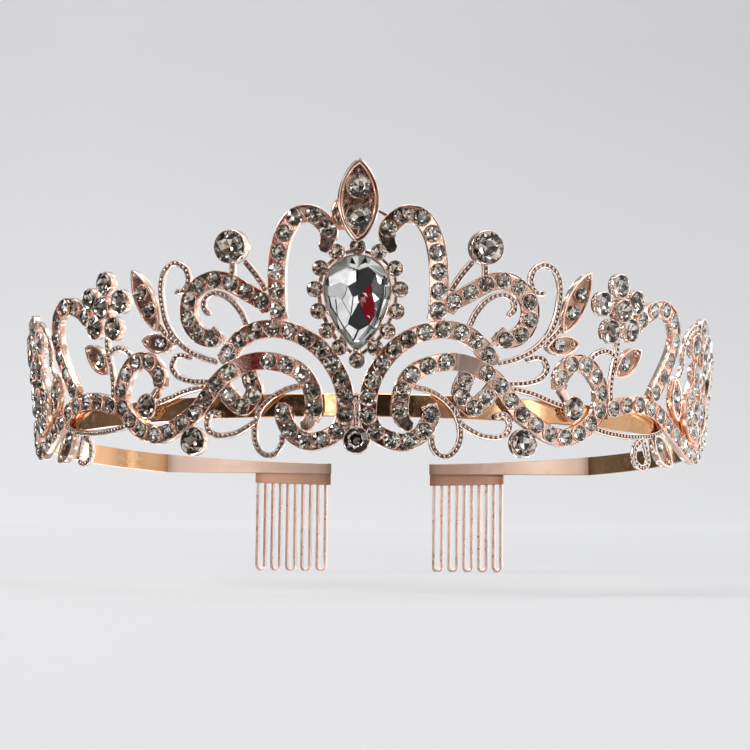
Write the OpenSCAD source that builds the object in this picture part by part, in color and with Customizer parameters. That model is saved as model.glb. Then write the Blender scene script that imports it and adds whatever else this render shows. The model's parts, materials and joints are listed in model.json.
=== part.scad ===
// Bridal tiara: a crystal set openwork front on a plain head band that ends
// in two wire combs. Millimetres. The origin is the centre of the head band's
// circle at the band's mid height, the front faces -Y and the crest rises
// along +Z. Each left piece is the mirror image of the right one.
//
// The openwork is drawn flat and then laid on a curved face. A flat point is
// [s, z]: s runs round the face from the front centre, and z is the height.

/* [Head band] */
// Inner radius of the band, which holds the head
band_r = 71.5; // [69:0.5:74]
// Thickness of the strip
band_t = 0.9; // [0.6:0.1:1.2]
// Height of the strip
band_h = 4.4; // [3.6:0.2:5]
// Height of the strip at its rear ends
band_end_h = 2.6; // [2:0.2:3.4]
// Angle from the front centre to each solder joint of the band
joint_angle = 134; // [128:1:140]
// Angle from the front centre to each end of the band
end_angle = 170; // [168:1:172]

/* [Openwork] */
// Outward lean of the openwork above the band, in degrees
flare = 7; // [0:1:10]
// Depth of the cast metal from front to back
cast_d = 1.6; // [1.4:0.1:2]
// Width of a stone channel
channel_w = 3.5; // [3.4:0.1:3.8]
// Thickness of a beaded wire
wire_d = 1.1; // [0.9:0.1:1.3]
// Wall of a round cup round its stone
cup_wall = 0.25; // [0.2:0.05:0.4]

/* [Stones] */
// Diameter of the channel stones
stone_d = 3; // [2.4:0.1:3]
// Half width of the pear stone
pear_half_w = 6.3; // [6:0.1:6.4]
// Distance from the pear's widest point to its tip
pear_tail = 11.6; // [11:0.1:11.8]

/* [Crest] */
// Length of the crest's pointed setting
crest_l = 16.6; // [15:0.1:17]
// Width of the crest's pointed setting
crest_w = 7.8; // [7:0.1:8.4]
// Angle by which the crest is turned on its stem
crest_yaw = 7; // [0:1:10]

/* [Combs] */
// Number of hairpin teeth on a comb
tooth_count = 5; // [3:1:5]
// Spacing of the teeth
tooth_pitch = 3.85; // [3.4:0.05:3.9]
// Height of the tooth tips below the band's middle
tooth_tip = 25.3; // [18:0.1:32]
// Thickness of the tooth wire
tooth_d = 1; // [0.8:0.1:1.2]

/* [Hidden] */
$fn = 32;
METAL = "#c98f74";
METAL_DARK = "#a8705a";
CRYSTAL = "#cfd3d2";

face_r = band_r + band_t + cast_d;   // front of the openwork at the band
lean_blend = 4;                      // height over which the lean sets in
groove_w = 3.2;                      // groove in a stone channel
groove_d = 1.1;                      // depth of that groove
seat = 0.2;                          // depth of a stone's girdle below the rim
step = 1.5;                          // length of one swept stretch
wire_sides = 6;

// Centre lines of the stone channels, right side
heart_line = [[27.2, 8.3], [25.8, 9.8], [23, 12.7], [20, 14.2], [16.5, 14.6], [13, 14], [10, 12.7],
    [7, 10.5], [4.8, 7.8], [3.1, 4.6], [2.3, 1.4], [2.2, -2.2], [3.6, -5.2], [6.7, -6.9],
    [10.1, -7.1], [13.1, -5], [14.5, -1.8], [14, 0.3]];
arch_line = [[6.9, 29.3], [5.8, 30.7], [5.5, 33.5], [8.3, 36.3], [11.6, 36], [13.8, 32.9], [14.8, 29.5],
    [15.3, 25.8], [15.4, 22.1], [15.3, 18.4], [14.9, 16.2]];
c_line = [[16.6, 18], [18.4, 20], [21.5, 21.9], [24.6, 23.7], [27.9, 24.6], [31.2, 23.6],
    [33.6, 21], [34, 17.5], [32.2, 14.4], [29, 13.2], [27.3, 14.6]];
s_line = [[10.8, -4.6], [9.2, -3.3], [8.3, -0.8], [8.8, 2.9], [10.7, 5.9], [13.8, 7.6], [17.2, 8.4],
    [20, 8.4], [23, 7.7], [26, 6.3], [28.5, 4.2], [30.6, 1.7], [33, -0.8], [36.4, -2.9], [39.5, -4.4],
    [42.8, -5], [46.5, -3.9], [49.5, -1.8], [52, 1.1], [52.2, 4.4], [50.7, 7.4], [48, 9.6],
    [44.4, 9.7], [41.8, 6.9], [42, 4]];
small_line = [[21.7, 6.4], [20.9, 4.6], [20.4, 2.2], [22.7, -0.3], [25.5, 1.7], [27, 3.6]];
rail_line = [[53.6, 1], [56, 1.8], [60, 2.8], [64, 3.2], [68, 2.8], [72, 1.7], [76, -0.2],
    [79.4, -1.6], [83, -3], [86.8, -4.3], [90.8, -4.8], [94.6, -4.2], [98, -2.5], [101.2, -0.3],
    [104.6, 1.5], [108.4, 2.2], [112.2, 1.6], [115.6, -0.4]];
loop_line = [[60.8, 18.2], [63, 20.9], [66.6, 22.8], [70.6, 23.2], [74, 21.4], [75.3, 18.2],
    [74.5, 14.5], [72.2, 10.5], [69.4, 6.4], [68.2, 4.6]];
rear_loop_line = [[96.4, 13.6], [98.4, 16.4], [101.6, 17.4], [104.8, 16.2], [106.4, 13], [105.9, 9.4],
    [104.2, 6.2], [103.2, 3.2]];
side_line = [[90.6, 11], [87.6, 8.8], [86, 5.6], [86.8, 2], [90, 0], [93.6, 0.6], [95.8, 3.6],
    [95.2, 7], [92.8, 8.4]];

// Runs of stones on each channel: where the first and the last stone sit along its line, and how many
heart_runs = [[2.6, 55.2, 16]];
arch_runs = [[4.8, 30.9, 8]];
c_runs = [[2.7, 31.2, 9]];
s_runs = [[4.6, 19.2, 5], [27.9, 78.6, 15]];
small_runs = [[1.6, 11.7, 4]];
rail_runs = [[2.3, 64, 16]];
loop_runs = [[2.6, 32.7, 8]];
rear_loop_runs = [[2.2, 22, 6]];
side_runs = [[2.4, 26.6, 8]];

// Plain bars: from the wave's end to the cup in its loop, and from the C scroll to the heart scroll
hook_bar = [[42, 4.4], [43.6, 2.65]];
c_post = [[28.4, 13.3], [25.6, 11.8]];

// Centre lines of the beaded wires, right side
upper_wires = [
    [[21.8, 28], [19.6, 25.2], [17.6, 22]],
    [[24.2, 27.8], [24.4, 24.6]],
    [[21.6, 15.4], [23, 18.4], [25.2, 20.8], [28, 21.9], [30.3, 20.9], [30.6, 19.2], [29.4, 17.8]],
    [[37.2, 22.8], [35, 22.9], [33.8, 24.8], [34.4, 27.2], [36.9, 28.4], [39.4, 26.9], [40.4, 23.8],
        [40.2, 20], [39.4, 16.8], [37.6, 13.8], [34.6, 11.2], [31.2, 9.5], [28, 8.5]],
    [[41.6, 17], [39.8, 14.9], [37.2, 12.6]]];
lower_wires = [
    [[33.8, 9.6], [35.6, 10.2], [37.6, 10], [38.6, 8.2], [37.2, 6.2], [34, 5.1], [29.6, 4.7]],
    [[30.6, 4], [35.5, 3.2], [39, 2.2], [43, 1.2]],
    [[19.6, 0], [20, -2.8], [22.5, -4.6], [25, -5.5], [28, -5.7], [30.2, -4.8], [30.7, -2.8],
        [29.5, -1.2], [27.5, -1.8]],
    [[10, 3.7], [14, 2.8], [17, 1.2], [19.2, -1], [20.3, -3.8], [20.2, -7], [18.6, -9.4],
        [16.4, -9.7], [14.9, -8], [14.6, -5.6]]];
stem_wires = [
    [[56, 15.6], [56, 13], [55.3, 9.5], [55, 6], [55.4, 2.6]],
    [[55.8, 12], [53, 13], [50.2, 12], [48.8, 10.6]]];
side_wires = [
    [[49.6, -2.2], [54, -3.1], [60, -3.4], [66, -3], [71, -2.2], [74.6, -0.6]],
    [[66.4, -3.4], [63.6, -5.4], [63.4, -8.2], [66, -9.4], [68.2, -7.8], [66.4, -3.4]],
    [[79, 9.8], [80.8, 12.6], [80.4, 15.8], [81.6, 19], [84.6, 21.4], [87, 22]],
    [[108, 3], [110.6, 6.4], [110.2, 10.2], [107.4, 11.6]]];

// Pointed leaf settings: middle, length, width, angle from the face's s axis
leaf_upper_at = [44.3, 21.7, 14.6, 4.9, 66];
leaf_middle_at = [41.7, 13, 8.2, 4, 12];
leaf_lower_at = [59.1, 11.2, 10, 4.7, 40];
leaf_side_at = [78.5, 5.9, 9.6, 4.6, 110];
leaf_low_at = [73.4, -5.4, 9.6, 4.8, -36];
leaf_stones_at = [[45.1, 23.3], [43.3, 19.7], [40.6, 13], [58.3, 10.9], [78.2, 6.4], [71.8, -4.2]];
leaf_stone_d = 2.9;
leaf_floor = 0.95;                   // depth of a leaf's sunk floor

// Round settings, right side: middle and stone diameter
stalk_at = [24.1, 30.7, 6.2];
drop_at = [33.7, -6.6, 5.2];
hook_at = [45.2, 0.9, 4.6];
side_round_at = [91.2, 4.6, 4.6];

// Flowers: middle, and the size and places of the petals
flower_front_at = [55.8, 21.3];
flower_rear_at = [91, 17];
petal_d = 4.5;
petal_ring = 4.9;
petal_turn = 98;
pistil_d = 4.3;

// Pear stone, its halo and the pieces on the centre line
pear_z = 22;
pear_side_r = 16;
pear_wall = 0.4;
halo_d = 2.85;
halo_wall = 0.2;
halo_at = [[0, 30.1], [3.9, 29.1], [7, 26], [8.05, 22], [7.4, 17.8], [5.8, 14], [3.4, 10.8], [0, 8.3]];
crest_z = 38.8;
crest_rim = 1.8;                     // height of the crest's rim above the face
crest_wall = 0.8;
crest_stones_at = [[0, 41.6, 4.5], [0, 35.7, 4.7]];
lobe_at = [-2.9, 36.4];              // small leaf behind the crest
crest_link = [[3.2, 37.3], [5.8, 35.9]];
centre_drop_at = [0, -7, 4.8];
pebble_at = [0, 1];

// Combs
tooth_gap = 1;                       // half the gap between a tooth's two legs
comb_top = 1.3;
comb_low = -3.2;
spine_t = 0.6;
spine_r = band_r + band_t;

// ---- the face that the openwork lies on ----
function lean(z) = tan(flare) * (z + sqrt(z * z + lean_blend * lean_blend) - lean_blend) / 2;
function tilt(z) = atan(tan(flare) * (1 + z / sqrt(z * z + lean_blend * lean_blend)) / 2);
function turn(s) = s / face_r * 180 / PI;

// A flat point on the face, raised by o out of it
function place(p, o = 0) =
    let (a = turn(p[0]), b = tilt(p[1]), r = face_r + lean(p[1]) + o * cos(b))
    [r * sin(a), -r * cos(a), p[1] - o * sin(b)];

// Puts its children at a flat point: X along the face, Y up it, Z out of it
module on_face(p) {
    a = turn(p[0]);
    b = tilt(p[1]);
    o = place(p);
    multmatrix([
        [cos(a), sin(a) * sin(b), sin(a) * cos(b), o[0]],
        [sin(a), -cos(a) * sin(b), -cos(a) * cos(b), o[1]],
        [0, cos(b), -sin(b), o[2]],
        [0, 0, 0, 1]]) children();
}

// ---- smooth lines ----
function knot(p, i) =
    i < 0 ? 2 * p[0] - p[1] : i >= len(p) ? 2 * p[len(p) - 1] - p[len(p) - 2] : p[i];
function span(a, b, c, d, t) =
    (2 * b + (c - a) * t + (2 * a - 5 * b + 4 * c - d) * t * t + (3 * b - a - 3 * c + d) * t * t * t) / 2;
function smooth(p, n = 6) = concat(
    [for (i = [0 : len(p) - 2]) for (k = [0 : n - 1])
        span(knot(p, i - 1), p[i], p[i + 1], knot(p, i + 2), k / n)],
    [p[len(p) - 1]]);
function lengths(q, i = 1, sum = [0]) =
    i == len(q) ? sum : lengths(q, i + 1, concat(sum, [sum[i - 1] + norm(q[i] - q[i - 1])]));
function along(q, l, d) = [
    lookup(d, [for (i = [0 : len(q) - 1]) [l[i], q[i][0]]]),
    lookup(d, [for (i = [0 : len(q) - 1]) [l[i], q[i][1]]])];

// Points at equal steps from a line's start to its end
function spaced(p, pitch) =
    let (q = smooth(p), l = lengths(q), whole = l[len(l) - 1], n = max(1, round(whole / pitch)))
    [for (k = [0 : n]) along(q, l, whole * k / n)];
// The places of a channel's stones
function places(p, runs) =
    let (q = smooth(p), l = lengths(q))
    [for (r = runs) for (k = [0 : r[2] - 1]) along(q, l, r[0] + (r[1] - r[0]) * k / (r[2] - 1))];
function heading(q, i) =
    let (d = q[min(i + 1, len(q) - 1)] - q[max(i - 1, 0)]) d / norm(d);

// ---- swept shapes ----
// Sweeps a section of points [across, out] along flat points q
module sweep(q, section, caps) {
    m = len(section);
    rows = len(q);
    points = [for (i = [0 : rows - 1]) let (h = heading(q, i)) for (c = section)
        place(q[i] + [-h[1], h[0]] * c[0], c[1])];
    sides = [for (i = [0 : rows - 2]) for (j = [0 : m - 1])
        [i * m + j, (i + 1) * m + j, (i + 1) * m + (j + 1) % m, i * m + (j + 1) % m]];
    end = [for (f = caps) [for (k = [len(f) - 1 : -1 : 0]) (rows - 1) * m + f[k]]];
    polyhedron(points, concat(sides, caps, end));
}

// A stone channel: a strip with a groove along its front
module channel(line) {
    w = channel_w / 2;
    g = groove_w / 2;
    section = [[-w, -cast_d], [w, -cast_d], [w, 0], [g, 0], [g, -groove_d], [-g, -groove_d], [-g, 0],
        [-w, 0]];
    sweep(spaced(line, step), section, [[0, 1, 4, 5], [1, 2, 3, 4], [5, 6, 7, 0]]);
}

// A round wire lying in the depth of the casting
module wire(line, d = wire_d) {
    section = [for (k = [0 : wire_sides - 1])
        [cos(360 * k / wire_sides), sin(360 * k / wire_sides)] * d / 2 - [0, cast_d / 2]];
    sweep(spaced(line, step), section, [[for (k = [0 : wire_sides - 1]) k]]);
}

module wires(lines) {
    for (line = lines) wire(line);
}

// A thin link between two round cups' middles p and q, from a past p to b before q
module link(p, q, a, b, d) {
    u = (q - p) / norm(q - p);
    wire([p + u * a, q - u * b], d);
}

// ---- settings and stones ----
// A round stone: pointed back, girdle at z = 0, flat table
module stone(d, back = 0.28) {
    rotate_extrude() polygon([[0, -back * d], [0.5 * d, -0.02 * d], [0.5 * d, 0.02 * d],
        [0.3 * d, 0.16 * d], [0, 0.16 * d]]);
}

module stones_on(line, runs) {
    for (p = places(line, runs)) on_face(p) translate([0, 0, -seat]) stone(stone_d);
}

// A round cup that stands from the back of the casting, sunk for its stone
module cup(d, rim = 0, wall = cup_wall) {
    difference() {
        translate([0, 0, -cast_d]) cylinder(r = d / 2 + wall, h = cast_d + rim);
        translate([0, 0, rim - 1.2]) cylinder(r = d / 2 + 0.05, h = 2);
    }
}

module cup_at(c, rim = 0) {
    on_face(c) cup(c[2], rim);
}

// The stone of such a cup, shallow enough for its depth
module stone_at(c, rim = 0) {
    on_face(c) translate([0, 0, rim - seat]) stone(c[2], 0.9 / c[2]);
}

// Outline of a pointed oval of length l and width w, grown by g
function oval_points(l, w, g = 0) =
    let (r = (l * l + w * w) / (4 * w), c = r - w / 2, e = acos(c / (r + g)))
    [for (side = [0, 1]) for (k = [0 : 11])
        let (a = -e + 2 * e * k / 12) (side == 0 ? 1 : -1) * [(r + g) * sin(a), (r + g) * cos(a) - c]];

// A pointed setting of length l and width w, sunk by depth below its rim
module pointed(l, w, rim, depth, wall) {
    difference() {
        translate([0, 0, -cast_d]) linear_extrude(cast_d + rim) polygon(oval_points(l, w));
        translate([0, 0, rim - depth]) linear_extrude(depth + 1) polygon(oval_points(l, w, -wall));
    }
}

module leaf(a) {
    on_face(a) rotate([0, 0, a[4]]) pointed(a[2], a[3], 0, leaf_floor, 0.45);
}

// Outline of the pear, round end up, grown by g
function pear_points(g = 0) =
    let (k = pear_side_r - pear_half_w,
        rise = asin((pear_side_r * pear_side_r - k * k - pear_tail * pear_tail) / (2 * pear_tail * k)),
        cx = k * cos(rise), cy = k * sin(rise), r = pear_side_r + g,
        drop = acos(cx / r))
    concat(
        [for (i = [0 : 20]) let (a = -rise + (180 + 2 * rise) * i / 20)
            (pear_half_w + g) * [cos(a), sin(a)]],
        [for (i = [1 : 10]) let (a = rise + (drop - rise) * i / 10) [cx - r * cos(a), cy - r * sin(a)]],
        [for (i = [9 : -1 : 1]) let (a = rise + (drop - rise) * i / 10) [r * cos(a) - cx, cy - r * sin(a)]]);

function petals(c) = [for (k = [0 : 4])
    let (a = petal_turn + 72 * k) [c[0] + petal_ring * cos(a), c[1] + petal_ring * sin(a), petal_d]];
function pistil(c) = [c[0], c[1], pistil_d];
function mirrored(list) = [for (p = list) if (p[0] > 0) [-p[0], p[1]]];

module left() {
    mirror([1, 0, 0]) children();
}

module both() {
    children();
    left() children();
}

// ---- head band ----
module strip(from, to, r, t, low, high) {
    rotate_extrude(start = from - 90, angle = to - from, $fn = 96) translate([r, low]) square([t, high - low]);
}

module front_band() color(METAL) {
    strip(-joint_angle, joint_angle, band_r, band_t, -band_h / 2, band_h / 2);
}

// The arm's top edge is level and its lower edge rises to the end
module rear_arm() color(METAL) {
    y0 = -band_r * cos(joint_angle);
    y1 = -band_r * cos(end_angle);
    difference() {
        strip(joint_angle, end_angle, band_r, band_t, -band_h / 2, band_h / 2);
        translate([0, y0, -band_h / 2]) rotate([atan((band_h - band_end_h) / (y1 - y0)), 0, 0])
            translate([0, 0, -10]) cube([80, 60, 10]);
    }
}

// ---- combs ----
// One strip along the outside of the band's end
module comb_spine() color(METAL_DARK) {
    half = (tooth_count - 1) / 2 * tooth_pitch + tooth_gap + tooth_d;
    reach = 2 * half / spine_r * 180 / PI;
    strip(end_angle - reach, end_angle, spine_r, spine_t, comb_low, comb_top);
}

// Hairpin teeth: two straight legs joined by a round bend at the tip
module comb_teeth() color(METAL) {
    r = spine_r + spine_t + tooth_d / 2;
    edge = tooth_gap + tooth_d;
    for (k = [0 : tooth_count - 1]) {
        rotate([0, 0, end_angle - (edge + k * tooth_pitch) / spine_r * 180 / PI - 90]) translate([r, 0, 0]) {
            for (side = [-1, 1]) translate([0, side * tooth_gap, tooth_gap + tooth_d / 2 - tooth_tip])
                cylinder(d = tooth_d, h = tooth_tip + comb_top - 0.4 - tooth_gap - tooth_d / 2, $fn = 20);
            translate([0, 0, tooth_gap + tooth_d / 2 - tooth_tip]) rotate([90, 0, 90])
                rotate_extrude(start = 180, angle = 180) translate([tooth_gap, 0]) circle(d = tooth_d, $fn = 20);
        }
    }
}

// ---- centre pieces ----
module pear_setting() color(METAL) on_face([0, pear_z]) difference() {
    translate([0, 0, -cast_d]) linear_extrude(cast_d + 0.9) polygon(pear_points(pear_wall));
    translate([0, 0, -0.7]) linear_extrude(2) polygon(pear_points(0.05));
}

module pear_stone() color(CRYSTAL) on_face([0, pear_z]) hull() {
    translate([0, 0, -0.65]) linear_extrude(0.1) polygon(pear_points(-2.5));
    translate([0, 0, 0.5]) linear_extrude(0.3) polygon(pear_points());
    translate([0, 0, 1.9]) linear_extrude(0.1) polygon(pear_points(-2.3));
}

module halo_setting() color(METAL) {
    for (p = concat(halo_at, mirrored(halo_at))) {
        on_face(p) cup(halo_d, 0, halo_wall);
        inward = [0, pear_z - (p[1] < pear_z ? 4 : 0)] - p;
        wire([p + inward / norm(inward) * 1.45, p + inward / norm(inward) * 2.2], 1);
    }
    both() for (i = [0 : len(halo_at) - 2]) link(halo_at[i], halo_at[i + 1], 1.5, 1.5, 0.8);
}

module halo_stones() color(CRYSTAL) {
    for (p = concat(halo_at, mirrored(halo_at))) stone_at([p[0], p[1], halo_d]);
}

// The crest's own frame: X across it, Y up it, Z out of it
module crest_frame() {
    on_face([0, crest_z]) rotate([0, crest_yaw, 0]) children();
}

module crest_setting() color(METAL) {
    crest_frame() {
        rotate([0, 0, 90]) pointed(crest_l, crest_w, crest_rim, 1.5, crest_wall);
        for (y = [-6.2, 6.2]) translate([0, y, 0.4]) sphere(d = 1.1);
        for (x = [-2.35, 2.35]) translate([x, 0, 0.4]) sphere(d = 1.3);
    }
    on_face(lobe_at) translate([0, 0, -cast_d / 2]) scale([2.3, 3.2, 0.9]) sphere(1, $fn = 24);
    wire(crest_link, 0.8);
}

module crest_stones() color(CRYSTAL) crest_frame() {
    for (c = crest_stones_at) translate([0, c[1] - crest_z, 1.5]) stone(c[2], 0.26);
}

module centre_drop_cup() color(METAL) {
    cup_at(centre_drop_at);
    on_face(pebble_at) translate([0, 0, -cast_d]) cylinder(d = 2.6, h = cast_d);
    wire([pebble_at - [0, 0.6], [0, -4.8]], 1.5);
}

module centre_drop_stone() color(CRYSTAL) {
    stone_at(centre_drop_at);
}

// ---- openwork, right side ----
module heart_scroll() color(METAL) channel(heart_line);
module arch() color(METAL) channel(arch_line);

module c_scroll() color(METAL) {
    channel(c_line);
    wire(c_post, 0.9);
}

module s_scroll() color(METAL) {
    channel(s_line);
    wire(hook_bar, 1.5);
}

module small_loop() color(METAL) channel(small_line);
module base_rail() color(METAL) channel(rail_line);
module teardrop_loop() color(METAL) channel(loop_line);
module rear_loop() color(METAL) channel(rear_loop_line);
module side_scroll() color(METAL) channel(side_line);
module upper_tendrils() color(METAL_DARK) wires(upper_wires);
module lower_tendrils() color(METAL_DARK) wires(lower_wires);
module side_tendrils() color(METAL_DARK) wires(concat(stem_wires, side_wires));
module leaf_upper() color(METAL_DARK) leaf(leaf_upper_at);
module leaf_middle() color(METAL_DARK) leaf(leaf_middle_at);
module leaf_lower() color(METAL_DARK) leaf(leaf_lower_at);

module side_leaves() color(METAL_DARK) {
    leaf(leaf_side_at);
    leaf(leaf_low_at);
}

module flower(at) color(METAL) {
    for (c = petals(at)) cup_at(c);
    cup_at(pistil(at), 0.8);
}

module round_cups() color(METAL) {
    cup_at(stalk_at, 1);
    cup_at(drop_at);
    cup_at(hook_at);
    cup_at(side_round_at);
}

module heart_stones() color(CRYSTAL) both() stones_on(heart_line, heart_runs);

module upper_stones() color(CRYSTAL) both() {
    stones_on(arch_line, arch_runs);
    stones_on(c_line, c_runs);
}

module s_scroll_stones() color(CRYSTAL) both() {
    stones_on(s_line, s_runs);
    stones_on(small_line, small_runs);
}

module side_stones() color(CRYSTAL) both() {
    stones_on(rail_line, rail_runs);
    stones_on(loop_line, loop_runs);
    stones_on(rear_loop_line, rear_loop_runs);
    stones_on(side_line, side_runs);
}

module leaf_stones() color(CRYSTAL) both() {
    for (p = leaf_stones_at) on_face(p) translate([0, 0, -seat]) stone(leaf_stone_d, 0.26);
}

module flower_stones() color(CRYSTAL) both() {
    for (at = [flower_front_at, flower_rear_at]) {
        for (c = petals(at)) stone_at(c);
        stone_at(pistil(at), 0.8);
    }
}

module round_stones() color(CRYSTAL) both() {
    stone_at(stalk_at, 1);
    stone_at(drop_at);
    stone_at(hook_at);
    stone_at(side_round_at);
}

front_band();
pear_setting();
pear_stone();
halo_setting();
halo_stones();
crest_setting();
crest_stones();
centre_drop_cup();
centre_drop_stone();
leaf_stones();
flower_stones();
round_stones();
rear_arm();  // rear_arm_right
left() rear_arm();  // rear_arm_left
comb_spine();  // comb_spine_right
left() comb_spine();  // comb_spine_left
comb_teeth();  // comb_teeth_right
left() comb_teeth();  // comb_teeth_left
heart_scroll();  // heart_scroll_right
left() heart_scroll();  // heart_scroll_left
arch();  // arch_right
left() arch();  // arch_left
c_scroll();  // c_scroll_right
left() c_scroll();  // c_scroll_left
s_scroll();  // s_scroll_right
left() s_scroll();  // s_scroll_left
small_loop();  // small_loop_right
left() small_loop();  // small_loop_left
base_rail();  // base_rail_right
left() base_rail();  // base_rail_left
teardrop_loop();  // teardrop_loop_right
left() teardrop_loop();  // teardrop_loop_left
rear_loop();  // rear_loop_right
left() rear_loop();  // rear_loop_left
side_scroll();  // side_scroll_right
left() side_scroll();  // side_scroll_left
upper_tendrils();  // upper_tendrils_right
left() upper_tendrils();  // upper_tendrils_left
lower_tendrils();  // lower_tendrils_right
left() lower_tendrils();  // lower_tendrils_left
side_tendrils();  // side_tendrils_right
left() side_tendrils();  // side_tendrils_left
leaf_upper();  // leaf_upper_right
left() leaf_upper();  // leaf_upper_left
leaf_middle();  // leaf_middle_right
left() leaf_middle();  // leaf_middle_left
leaf_lower();  // leaf_lower_right
left() leaf_lower();  // leaf_lower_left
side_leaves();  // side_leaves_right
left() side_leaves();  // side_leaves_left
flower(flower_front_at);  // flower_front_right
left() flower(flower_front_at);  // flower_front_left
flower(flower_rear_at);  // flower_rear_right
left() flower(flower_rear_at);  // flower_rear_left
round_cups();  // round_cups_right
left() round_cups();  // round_cups_left
heart_stones();
upper_stones();
s_scroll_stones();
side_stones();
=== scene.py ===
import json
import math
import random
from bisect import bisect

import bpy
from mathutils import Matrix, Vector


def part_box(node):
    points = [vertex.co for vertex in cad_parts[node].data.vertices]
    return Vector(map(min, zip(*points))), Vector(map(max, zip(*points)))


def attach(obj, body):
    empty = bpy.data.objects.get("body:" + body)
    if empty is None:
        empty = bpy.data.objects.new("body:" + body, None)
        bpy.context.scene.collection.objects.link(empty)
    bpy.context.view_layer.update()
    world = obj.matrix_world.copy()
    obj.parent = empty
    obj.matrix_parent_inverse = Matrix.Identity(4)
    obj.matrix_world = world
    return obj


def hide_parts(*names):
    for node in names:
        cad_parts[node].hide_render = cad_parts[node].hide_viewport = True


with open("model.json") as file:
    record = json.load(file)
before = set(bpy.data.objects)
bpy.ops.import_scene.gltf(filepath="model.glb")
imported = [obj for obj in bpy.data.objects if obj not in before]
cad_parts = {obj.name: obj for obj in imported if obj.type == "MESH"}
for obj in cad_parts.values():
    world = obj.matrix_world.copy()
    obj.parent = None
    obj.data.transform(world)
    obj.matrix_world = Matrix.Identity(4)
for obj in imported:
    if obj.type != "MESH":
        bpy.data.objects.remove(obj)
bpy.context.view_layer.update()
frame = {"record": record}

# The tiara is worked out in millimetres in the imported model's frame: the origin is the centre of the
# head band, -Y is the front and +Z is up. A flat point (s, z) lies on the openwork's curved face: s runs
# round it from the front centre and z is the height.
MM = 0.001
BAND = next(m for m in frame["record"]["mounts"] if m["name"] == "head_band")
BAND_R = BAND["dims"]["r_mm"]
BAND_H = BAND["dims"]["length_mm"]
BAND_T = 0.9
BAND_BEVEL = 0.12
BAND_END_H = 2.6
JOINT_ANGLE = 134
END_ANGLE = 170
CAST_D = 1.6
FACE_R = BAND_R + BAND_T + CAST_D
FLARE = math.tan(math.radians(7))
LEAN_BLEND = 4
HALF_W = 1.75
STONE_D = 3.2
SEAT = 0.02
# The share of dark foil facets, painted dark reflection and shade: in the middle, its fall per millimetre to
# the right and where that ends, so the left gets more painted shade. Stones wider than STAR_FROM_D show a
# painted star of
# dark reflection: the odds change for the four facets of each eighth.
DARK_SHARE = 0.4
DARK_FALL = 0.0022
DARK_ENDS = (-70, 80)
STAR_FROM_D = 4
STAR_ODDS = (-0.3, 0.1, -0.3, 0.4)
RNG = random.Random(7)

# Centre lines of the stone channels on the right
HEART = [(27.2, 8.3), (25.8, 9.8), (23, 12.7), (20, 14.2), (16.5, 14.6), (13, 14), (10, 12.7),
         (7, 10.5), (4.8, 7.8), (3.1, 4.6), (2.3, 1.4), (2.2, -2.2), (3.6, -5.2), (6.7, -6.9),
         (10.1, -7.1), (13.1, -5), (14.5, -1.8), (14, 0.3)]
ARCH = [(6.9, 29.3), (5.8, 30.7), (5.5, 33.5), (8.3, 36.3), (11.6, 36), (13.8, 32.9), (14.8, 29.5),
        (15.3, 25.8), (15.4, 22.1), (15.3, 18.4), (14.9, 16.2)]
C_SCROLL = [(16.6, 18), (18.4, 20), (21.5, 21.9), (24.6, 23.7), (27.9, 24.6), (31.2, 23.6),
            (33.6, 21), (34, 17.5), (32.2, 14.4), (29, 13.2), (27.3, 14.6)]
S_SCROLL = [(10.8, -4.6), (9.2, -3.3), (8.3, -0.8), (8.8, 2.9), (10.7, 5.9), (13.8, 7.6), (17.2, 8.4),
            (20, 8.4), (23, 7.7), (26, 6.3), (28.5, 4.2), (30.6, 1.7), (33, -0.8), (36.4, -2.9),
            (39.5, -4.4), (42.8, -5), (46.5, -3.9), (49.5, -1.8), (52, 1.1), (52.2, 4.4), (50.7, 7.4),
            (48, 9.6), (44.4, 9.7), (41.8, 6.9), (42, 4)]
SMALL_LOOP = [(21.7, 6.4), (20.9, 4.6), (20.4, 2.2), (22.7, -0.3), (25.5, 1.7), (27, 3.6)]
BASE_RAIL = [(53.6, 1), (56, 1.8), (60, 2.8), (64, 3.2), (68, 2.8), (72, 1.7), (76, -0.2),
             (79.4, -1.6), (83, -3), (86.8, -4.3), (90.8, -4.8), (94.6, -4.2), (98, -2.5),
             (101.2, -0.3), (104.6, 1.5), (108.4, 2.2), (112.2, 1.6), (115.6, -0.4)]
TEARDROP = [(60.8, 18.2), (63, 20.9), (66.6, 22.8), (70.6, 23.2), (74, 21.4), (75.3, 18.2),
            (74.5, 14.5), (72.2, 10.5), (69.4, 6.4), (68.2, 4.6)]
REAR_LOOP = [(96.4, 13.6), (98.4, 16.4), (101.6, 17.4), (104.8, 16.2), (106.4, 13), (105.9, 9.4),
             (104.2, 6.2), (103.2, 3.2)]
SIDE_SCROLL = [(90.6, 11), (87.6, 8.8), (86, 5.6), (86.8, 2), (90, 0), (93.6, 0.6), (95.8, 3.6),
               (95.2, 7), (92.8, 8.4)]
# Each channel's runs of stones: distances of the first and the last stone along the line, and how many
CHANNELS = {
    "heart_scroll": (HEART, [(2.6, 55.2, 16)]),
    "arch": (ARCH, [(4.8, 30.9, 8)]),
    "c_scroll": (C_SCROLL, [(2.7, 31.2, 9)]),
    "s_scroll": (S_SCROLL, [(4.6, 19.2, 5), (27.9, 78.6, 15)]),
    "small_loop": (SMALL_LOOP, [(1.6, 11.7, 4)]),
    "base_rail": (BASE_RAIL, [(2.3, 64, 16)]),
    "teardrop_loop": (TEARDROP, [(2.6, 32.7, 8)]),
    "rear_loop": (REAR_LOOP, [(2.2, 22, 6)]),
    "side_scroll": (SIDE_SCROLL, [(2.4, 26.6, 8)])}
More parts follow.
